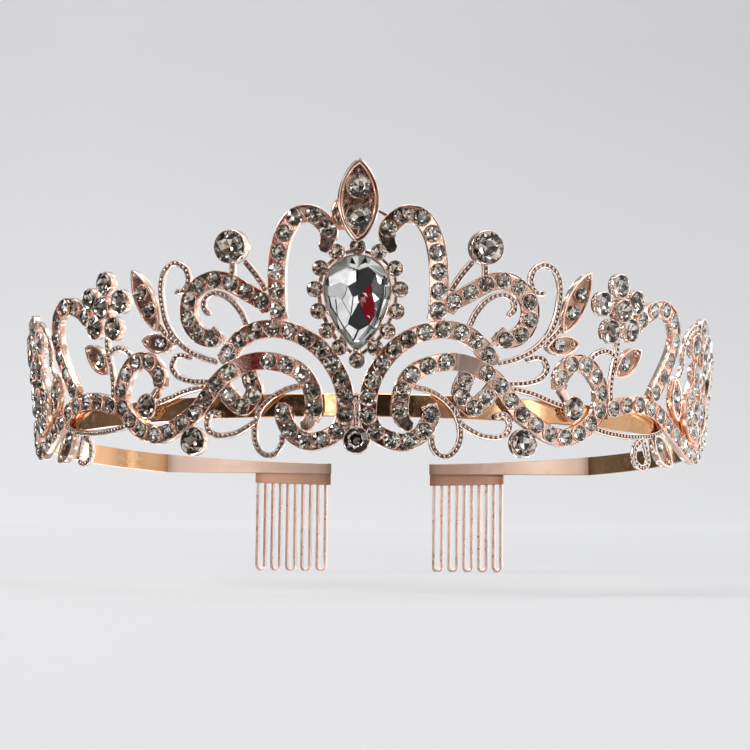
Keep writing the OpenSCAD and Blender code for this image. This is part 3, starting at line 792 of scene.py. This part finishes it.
# The pear's facets. Letters name the corners, A to P in turn round the table's edge. Each mirror facet
# behind the table is tipped to the right and up by some degrees.
CORNERS = {
    "A": (-5.5, 2.1), "B": (-1.6, 4.2), "C": (0.1, 3.7), "D": (2.1, 4.4), "E": (5.5, 2.1), "F": (5.3, 0.4),
    "G": (5.2, -1.9), "H": (4.1, -5.8), "I": (3.1, -7.5), "J": (0.8, -10), "K": (-0.5, -10),
    "L": (-2.3, -7.6), "M": (-3.7, -5.3), "N": (-4.9, -3.4), "O": (-5.3, -1.6), "P": (-5.3, 0.4),
    "q": (-3.3, 1.2), "r": (-1.8, 0.5), "s": (0.1, 1.6), "t": (-2.3, -1.2), "u": (-2.9, -2.2),
    "v": (-4.1, -1.5), "w": (-0.7, -1.6), "x": (0.2, -1.2), "y": (-1.1, -5.2), "z": (0.3, -2.5),
    "a": (1.1, -0.4), "b": (2.7, 0.7), "c": (4, 1.2), "d": (2.9, -0.8), "e": (4.2, -1.9), "f": (3.5, 3.1),
    "g": (1.6, -5.6), "h": (2.4, -6.9), "j": (3.3, -2.5), "k": (3.4, -5.3), "l": (0.4, -8),
    "m": (-1.7, -6.9)}
FACETS = [
    ("ABCsrqP", 15.9, 3), ("PqrtuvO", 12.5, 0), ("rwyut", 16.5, 0), ("rsxw", 5.5, 2), ("wxzy", 18, 1),
    ("vuymLM", 17, 0), ("OvMN", 14, 4), ("sCDfbax", 1, 1), ("fcFGedb", 2.5, -1), ("DEFcf", 15, 3),
    ("xaz", 2, 0), ("abdjz", -10.5, -0.5), ("zjkhg", -9.7, 0.3), ("zghlmy", 1, 1), ("mlKL", 18, 0),
    ("lhIJK", 17, -1), ("dej", 15, 2), ("eGHkj", 4, 0), ("hkHI", 17.5, 0)]
GLINTS = [((1.5, -1.3), 0.5), ((2.2, -5.5), 0.35), ((3.6, -4), 0.3)]


def outline_point(p, height):
    """The point of the pear's outline in line with p, seen from inside the pear."""
    def bearing(q):
        return math.atan2(q[0], q[1] + 1)

    want = bearing(p)
    near = min(pear(0, 96, 48), key=lambda q: abs(math.remainder(bearing(q) - want, math.tau)))
    return (*near, height)


def pear_stone():
    """The pear: a wide table, a ring of crown facets and a sheet of mirror facets behind."""
    edge = [CORNERS[name] for name in "ABCDEFGHIJKLMNOP"]
    n = len(edge)
    round_edge = []
    for p, q in zip(edge, edge[1:] + edge[:1]):
        round_edge += [p, ((p[0] + q[0]) / 2, (p[1] + q[1]) / 2)]
    girdle = [outline_point(p, 0.62) for p in round_edge]
    lower = [(x, y, 0.42) for x, y, z in girdle]
    table = [(x, y, 1.4) for x, y in edge]
    shape = Shape()
    faces = [[2 * n + k for k in range(n)][::-1]]
    for k in range(n):
        a, b, c = 2 * k, 2 * k + 1, (2 * k + 2) % (2 * n)
        t, t2 = 2 * n + k, 2 * n + (k + 1) % n
        faces += [[t, b, a], [t2, c, b], [t, t2, b]]
    w = 3 * n
    for k in range(2 * n):
        k2 = (k + 1) % (2 * n)
        faces.append([k, k2, w + k2, w + k])
    shape.add(girdle + table + lower, faces, 0)

    def mirror(points, right, rise, mark, level=-0.1):
        cx, cy = (sum(p[i] for p in points) / len(points) for i in (0, 1))
        a, b = math.tan(math.radians(right)), math.tan(math.radians(rise))
        shape.add([(x, y, level - a * (x - cx) - b * (y - cy)) for x, y in points],
                  [list(range(len(points)))[::-1]], mark)

    for names, right, rise in FACETS:
        mirror([CORNERS[name] for name in names], right, rise, 1)
    # Small glints just behind the table
    for (x, y), r in GLINTS:
        mirror([(x - r, y + r), (x + 0.4 * r, y + 0.8 * r), (x + r, y - 0.7 * r)], 17, 0, 1, 0.5)
    # Small facets round the edge, tipped at random and mostly dark: most take the rough greenish edge foil,
    # painted light that shines through the unfoiled edge
    for k in range(n):
        a, b, c = (lower[i % (2 * n)][:2] for i in (2 * k, 2 * k + 1, 2 * k + 2))
        t, t2 = edge[k], edge[(k + 1) % n]
        for triangle in ([t, a, b], [t2, b, c], [t, b, t2]):
            right, rise = RNG.uniform(-14, 14), RNG.uniform(-14, 14)
            mirror(triangle, right, rise, 2 if RNG.random() < 0.75 else 1, 0.2)
    out = Shape()
    out.join(shape, on_face((0, PEAR_Z)))
    return out


piece("fine_pear_setting", pear_setting(), METALS, ["pear_setting"], 40)
piece("fine_pear_stone", pear_stone(), [pear_glass, pear_foil, pear_edge_backlight], ["pear_stone"], 0)


def pear_middle(p):
    """The point inside the pear that a halo cup at p faces: further down beside the tail."""
    return Vector((0, PEAR_Z - (HALO_SHIFT if p[1] < PEAR_Z else 0)))


halo_places = HALO + [(-s, z) for s, z in HALO[-2:0:-1]]
halo = Shape()
halo_stones = Shape()
for p, q in zip(halo_places, halo_places[1:] + halo_places[:1]):
    halo.join(cup(HALO_D, 0, 0.16), on_face(p))
    set_stone(halo_stones, p, HALO_D)
    near = [Vector(c).lerp(pear_middle(c), 0.07) for c in (p, q)]
    halo.join(flat_bar(near[0], near[1], 0.42, -0.35, 1.4))
    inward = (pear_middle(p) - Vector(p)).normalized()
    halo.join(flat_bar(p, Vector(p) + inward * 2.4, 0.8, -0.3, 1.4))
piece("fine_halo_setting", halo, METALS, ["halo_setting"], 40)
stone_piece("halo_stones", halo_stones)


def crest_setting():
    """The tall pointed setting, its length along X: a double rim round a sunk floor, collars and balls.
    The groove between the rims and the inner wall's foot take the darker metal of mark 1: painted shade."""
    local = pointed_skin(CREST_L, CREST_W, [
        (-0.15, -CAST_D), (0, -CAST_D + 0.15), (0.12, CREST_RIM - 0.25), (0.08, CREST_RIM - 0.08),
        (-0.06, CREST_RIM), (-0.2, CREST_RIM - 0.06), (-0.3, CREST_RIM - 0.3), (-0.42, CREST_RIM - 0.34),
        (-0.52, CREST_RIM - 0.12), (-0.64, CREST_RIM - 0.04), (-0.78, CREST_RIM - 0.14),
        (-0.86, CREST_RIM - 0.4), (-0.95, CREST_FLOOR)])
    m = 2 * OVAL_STEPS
    # Painted shade: the groove between the rims and the inner wall's foot take the darker metal
    for row in (6, 7, 11):
        local.marks[row * m:(row + 1) * m] = [1] * m
    for z, d in CREST_STONES:
        r = d / 2
        collar = turned([(r + 0.3, CREST_FLOOR - 0.1), (r + 0.28, CREST_RIM - 0.4),
                         (r + 0.18, CREST_RIM - 0.24), (r + 0.05, CREST_RIM - 0.26),
                         (r - 0.03, CREST_RIM - 0.4), (r - 0.03, 0.2)], 32)
        local.join(collar, Matrix.Translation((z - CREST_Z, 0, 0)))
    for x, y in CREST_BALLS:
        local.join(ball(0.56), Matrix.Translation((x, y, CREST_FLOOR + 0.35)))
    return local


def crest_frame():
    """Where the crest sits, turned a little to the side."""
    return on_face((0, CREST_Z)) @ Matrix.Rotation(math.radians(CREST_YAW), 4, "Y")


# The crest, with the small leaf behind it and its link to the arch
crest = Shape()
crest.join(crest_setting(), crest_frame() @ Matrix.Rotation(math.pi / 2, 4, "Z"))
lobe = Shape()
lobe.skin([[(2.3 * math.cos(e) * math.cos(a), 3.2 * math.cos(e) * math.sin(a), 0.9 * math.sin(e))
            for a in around(24)] for e in (math.radians(15 * j) for j in range(-5, 6))])
# The small leaf takes mark 1, the darker metal: painted shade behind the crest
crest.join(lobe, on_face(CREST_LOBE) @ Matrix.Translation((0, 0, -0.75)), 1)
crest.join(flat_bar(*CREST_LINK, 0.3, -0.5))
crest_stones = Shape()
for z, d in CREST_STONES:
    seat = Matrix.Translation((0, z - CREST_Z, CREST_RIM - 0.3))
    crest_stones.join(brilliant(d, 0.7), crest_frame() @ seat @ Matrix.Rotation(RNG.uniform(0, 1), 4, "Z"))
piece("fine_crest_setting", crest, METALS, ["crest_setting"], 40)
stone_piece("crest_stones", crest_stones)

drop_at, drop_d, drop_rim = DROP
drop = Shape()
drop.join(cup(drop_d, drop_rim), on_face(drop_at))
pebble = turned([(1.1, -CAST_D), (1.3, -CAST_D + 0.2), (1.3, -0.5), (1.1, -0.2), (0.6, 0.02), (0.1, 0.08)],
                24, (True, True))
drop.join(pebble, on_face(PEBBLE))
drop.skin([[place((w * math.cos(a), z), -0.8 + 0.7 * math.sin(a)) for a in around(16)] for z, w in NECK])
piece("fine_centre_drop_cup", drop, METALS, ["centre_drop_cup"], 40)
drop_stone = Shape()
set_stone(drop_stone, drop_at, drop_d, drop_rim, 1.3)
stone_piece("centre_drop_stone", drop_stone)


# ---- head band and combs ----
def strip(start, end, radius, thick, heights):
    """A bent strip between two angles; heights gives its low and high edge at an angle."""
    shape = Shape()
    rings = []
    e = BAND_BEVEL
    for angle in spaced(start, end, max(2, round((end - start) / 1.5)) + 1):
        low, high = heights(angle)
        a = math.radians(angle)
        section = [(0, low + e), (e, low), (thick - e, low), (thick, low + e), (thick, high - e),
                   (thick - e, high), (e, high), (0, high - e)]
        rings.append([((radius + u) * math.sin(a), -(radius + u) * math.cos(a), v) for u, v in section])
    shape.skin(rings)
    return shape


def arm_heights(angle):
    """The rear arm's low and high edge: its low edge rises towards the end."""
    y0, y1 = (-math.cos(math.radians(a)) for a in (JOINT_ANGLE, END_ANGLE))
    t = (-math.cos(math.radians(angle)) - y0) / (y1 - y0)
    return -BAND_H / 2 + (BAND_H - BAND_END_H) * t, BAND_H / 2


front_band = strip(-JOINT_ANGLE, JOINT_ANGLE, BAND_R, BAND_T, lambda a: (-BAND_H / 2, BAND_H / 2))
piece("fine_front_band", front_band, [band_metal], ["front_band"], 30)
rear_arm = strip(JOINT_ANGLE, END_ANGLE, BAND_R, BAND_T, arm_heights)
both_sides("rear_arm", rear_arm, [arm_metal], 30)

spine_r = BAND_R + BAND_T
end_gap = TOOTH_GAP + TOOTH_D
reach = math.degrees(((TEETH - 1) * TOOTH_PITCH + 2 * end_gap) / spine_r)
spine = strip(END_ANGLE - reach, END_ANGLE, spine_r, SPINE_T, lambda a: (COMB_LOW, COMB_TOP))
both_sides("comb_spine", spine, [spine_metal], 30)


def tooth_rings(angle):
    """The rings of one hairpin tooth: a round wire that runs down, turns at the tip and runs up again."""
    r = spine_r + SPINE_T + TOOTH_D / 2
    out = Vector((math.sin(angle), -math.cos(angle), 0))
    side = Vector((math.cos(angle), math.sin(angle), 0))
    bend_z = TOOTH_GAP + TOOTH_D / 2 - TOOTH_TIP
    top_z = COMB_TOP - 0.4
    route = [(TOOTH_GAP, top_z + (bend_z - top_z) * j / 8, 0) for j in range(8)]
    route += [(TOOTH_GAP * math.cos(t), bend_z - TOOTH_GAP * math.sin(t), t)
              for t in (math.pi * j / 10 for j in range(11))]
    route += [(-TOOTH_GAP, bend_z + (top_z - bend_z) * j / 8, math.pi) for j in range(1, 9)]
    rings = []
    for u, z, t in route:
        normal = side * math.cos(t) - Vector((0, 0, 1)) * math.sin(t)
        middle = out * r + side * u + Vector((0, 0, z))
        rings.append([middle + TOOTH_D / 2 * (normal * math.cos(a) + out * math.sin(a)) for a in around(12)])
    return rings


teeth = Shape()
for k in range(TEETH):
    teeth.skin(tooth_rings(math.radians(END_ANGLE) - (end_gap + k * TOOTH_PITCH) / spine_r))
both_sides("comb_teeth", teeth, [comb_metal], 40)


# ---- floor, light and camera, in metres ----
FLOOR_SLOPE = 4.75
FLOOR_GAP = 0.0001
FLOOR_FRONT = -0.6
FLOOR_BACK = 0.9
SWEEP_R = 0.7
WALL_TOP = 2.4
BACKDROP_HALF_W = 2.4
CLOTH_TOWARDS = (-0.55, -0.83, -0.1)
LIGHT_AIM = (0, -0.05, 0)


def backdrop():
    """A pale floor that passes just under the comb tips and rises behind in one sweep. It gives off some
    light, more towards the back."""
    mat, nodes, links, shader = new_material("pale_backdrop")
    shader.inputs["Roughness"].default_value = 0.8
    shader.inputs["Specular IOR Level"].default_value = 0.1
    cloud = noise(nodes, links, 2.5, 2)
    tone = mixed(nodes, links, cloud.outputs[0], (0.30, 0.302, 0.308), (0.34, 0.342, 0.347))
    links.new(tone, shader.inputs["Base Color"])
    shader.inputs["Emission Color"].default_value = (0.985, 0.985, 1, 1)
    coords = nodes.new("ShaderNodeTexCoord")
    split = nodes.new("ShaderNodeSeparateXYZ")
    links.new(coords.outputs["Object"], split.inputs[0])
    glow = ramp(nodes, links, split.outputs["Y"], 0.375, 0.525, 0.1, 0.8)
    high = ramp(nodes, links, split.outputs["Z"], 0, -0.1, 0, 0.42)
    side = ramp(nodes, links, split.outputs["X"], 0.025, -0.03, -0.3, 0.3)
    for extra in (high, side):
        add = nodes.new("ShaderNodeMath")
        links.new(glow, add.inputs[0])
        links.new(extra, add.inputs[1])
        glow = add.outputs[0]
    links.new(glow, shader.inputs["Emission Strength"])
    profile = [(FLOOR_FRONT, 0), (FLOOR_BACK, 0)]
    profile += [(FLOOR_BACK + SWEEP_R * math.sin(a), SWEEP_R - SWEEP_R * math.cos(a))
                for a in (math.pi / 2 * k / 16 for k in range(1, 17))]
    profile.append((FLOOR_BACK + SWEEP_R, WALL_TOP))
    points = [(x, y, z) for y, z in profile for x in (-BACKDROP_HALF_W, BACKDROP_HALF_W)]
    faces = [[2 * k, 2 * k + 1, 2 * k + 3, 2 * k + 2] for k in range(len(profile) - 1)]
    mesh = bpy.data.meshes.new("backdrop")
    mesh.from_pydata(points, [], faces)
    mesh.materials.append(mat)
    mesh.polygons.foreach_set("use_smooth", [True] * len(faces))
    obj = bpy.data.objects.new("backdrop", mesh)
    bpy.context.scene.collection.objects.link(obj)
    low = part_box("comb_teeth_right")[0]
    slope = Matrix.Rotation(math.radians(FLOOR_SLOPE), 4, "X")
    obj.matrix_world = Matrix.Translation((0, low.y, low.z - FLOOR_GAP)) @ slope
    obj.visible_glossy = False


def soft_light(name, at, size, power, colour):
    data = bpy.data.lights.new(name, "AREA")
    data.shape = "RECTANGLE"
    data.size, data.size_y = size
    data.energy = power
    data.color = colour
    obj = bpy.data.objects.new(name, data)
    obj.location = at
    obj.rotation_euler = (Vector(LIGHT_AIM) - Vector(at)).to_track_quat("-Z", "Y").to_euler()
    bpy.context.scene.collection.objects.link(obj)


def world_light():
    """The room that the metal and the stones mirror: pale behind, above, below and on the right, dim in
    front and to the left, with small bright windows and a red cloth on the left. The camera itself sees
    a plain pale background."""
    world = bpy.data.worlds.new("room")
    bpy.context.scene.world = world
    world.use_nodes = True
    nodes, links = world.node_tree.nodes, world.node_tree.links
    nodes.clear()

    def math_node(kind, a, b):
        node = nodes.new("ShaderNodeMath")
        node.operation = kind
        for socket, value in zip(node.inputs, (a, b)):
            if isinstance(value, (int, float)):
                socket.default_value = value
            else:
                links.new(value, socket)
        return node.outputs[0]

    coords = nodes.new("ShaderNodeTexCoord")
    split = nodes.new("ShaderNodeSeparateXYZ")
    links.new(coords.outputs["Generated"], split.inputs[0])
    x, y, z = split.outputs
    behind = ramp(nodes, links, y, 0, 1.4, -0.2, 0.45)
    light = math_node("MULTIPLY", behind, ramp(nodes, links, x, 0.12, 1, -0.45, 0.4))
    # The pale sides: right, above, far left and below, each with its light and where it starts and ends
    for axis, strength, start, end in ((x, 1.15, 0.28, 0.88), (z, 0.9, 0.5, 0.9), (x, 0.45, -0.8, -1),
                                       (z, 0.7, -0.3, -0.65)):
        light = math_node("MAXIMUM", light, ramp(nodes, links, axis, 0, strength, start, end))
    patches = nodes.new("ShaderNodeTexVoronoi")
    patches.inputs["Scale"].default_value = 3.6
    links.new(coords.outputs["Generated"], patches.inputs["Vector"])
    clouds = nodes.new("ShaderNodeTexNoise")
    clouds.inputs["Scale"].default_value = 2.4
    links.new(coords.outputs["Generated"], clouds.inputs["Vector"])
    light = math_node("MULTIPLY", light, ramp(nodes, links, clouds.outputs[0], 0.6, 1.1, 0.35, 0.65))
    light = math_node("MULTIPLY", light, ramp(nodes, links, x, 0.4, 1, -0.55, 0.3))
    windows = ramp(nodes, links, patches.outputs["Distance"], 3.5, 0, 0.2, 0.27)
    light = math_node("ADD", math_node("ADD", light, windows), 0.035)
    red = nodes.new("ShaderNodeVectorMath")
    red.operation = "DISTANCE"
    links.new(coords.outputs["Generated"], red.inputs[0])
    red.inputs[1].default_value = CLOTH_TOWARDS
    cloth = ramp(nodes, links, red.outputs["Value"], 1, 0, 0.09, 0.18)
    colour = mixed(nodes, links, cloth, (0.97, 0.98, 1), (0.9, 0.03, 0.05))
    room = nodes.new("ShaderNodeBackground")
    links.new(colour, room.inputs["Color"])
    links.new(math_node("ADD", light, math_node("MULTIPLY", cloth, 0.16)), room.inputs["Strength"])
    pale = nodes.new("ShaderNodeBackground")
    pale.inputs["Color"].default_value = (0.84, 0.845, 0.86, 1)
    path = nodes.new("ShaderNodeLightPath")
    either = nodes.new("ShaderNodeMixShader")
    links.new(path.outputs["Is Camera Ray"], either.inputs[0])
    links.new(room.outputs[0], either.inputs[1])
    links.new(pale.outputs[0], either.inputs[2])
    out = nodes.new("ShaderNodeOutputWorld")
    links.new(either.outputs[0], out.inputs[0])


backdrop()
world_light()
soft_light("key", (0.7, -0.55, 0.55), (0.35, 0.35), 1, (1, 0.98, 0.96))
soft_light("left", (-0.9, -0.3, 0.5), (0.2, 0.4), 7, (1, 0.97, 0.95))
soft_light("top", (0, -0.1, 1.0), (0.6, 0.4), 3, (0.98, 0.99, 1))

# The camera: angles in degrees, distance and aim beside the face's front in millimetres
CAMERA_TURN = 2
CAMERA_RISE = -7.6
CAMERA_FAR = 450
CAMERA_ROLL = 0.6
CAMERA_LENS = 112.3
AIM = (3.46, 5.58)
a, b = math.radians(CAMERA_TURN), math.radians(CAMERA_RISE)
back = Vector((math.sin(a) * math.cos(b), -math.cos(a) * math.cos(b), math.sin(b)))
right = (-back).cross(Vector((0, 0, 1))).normalized()
up = right.cross(-back)
target = Vector((0, -FACE_R, 0)) + right * AIM[0] + up * AIM[1]
camera_data = bpy.data.cameras.new("camera")
camera_data.lens = CAMERA_LENS
camera_data.sensor_width = 36
camera_data.clip_start = 0.01
camera = bpy.data.objects.new("camera", camera_data)
bpy.context.scene.collection.objects.link(camera)
turn = Matrix((right, up, back)).transposed().to_4x4()
roll = Matrix.Rotation(math.radians(CAMERA_ROLL), 4, "Z")
camera.matrix_world = Matrix.Translation((target + back * CAMERA_FAR) * MM) @ turn @ roll
bpy.context.scene.camera = camera
bpy.context.scene.view_settings.view_transform = "Standard"
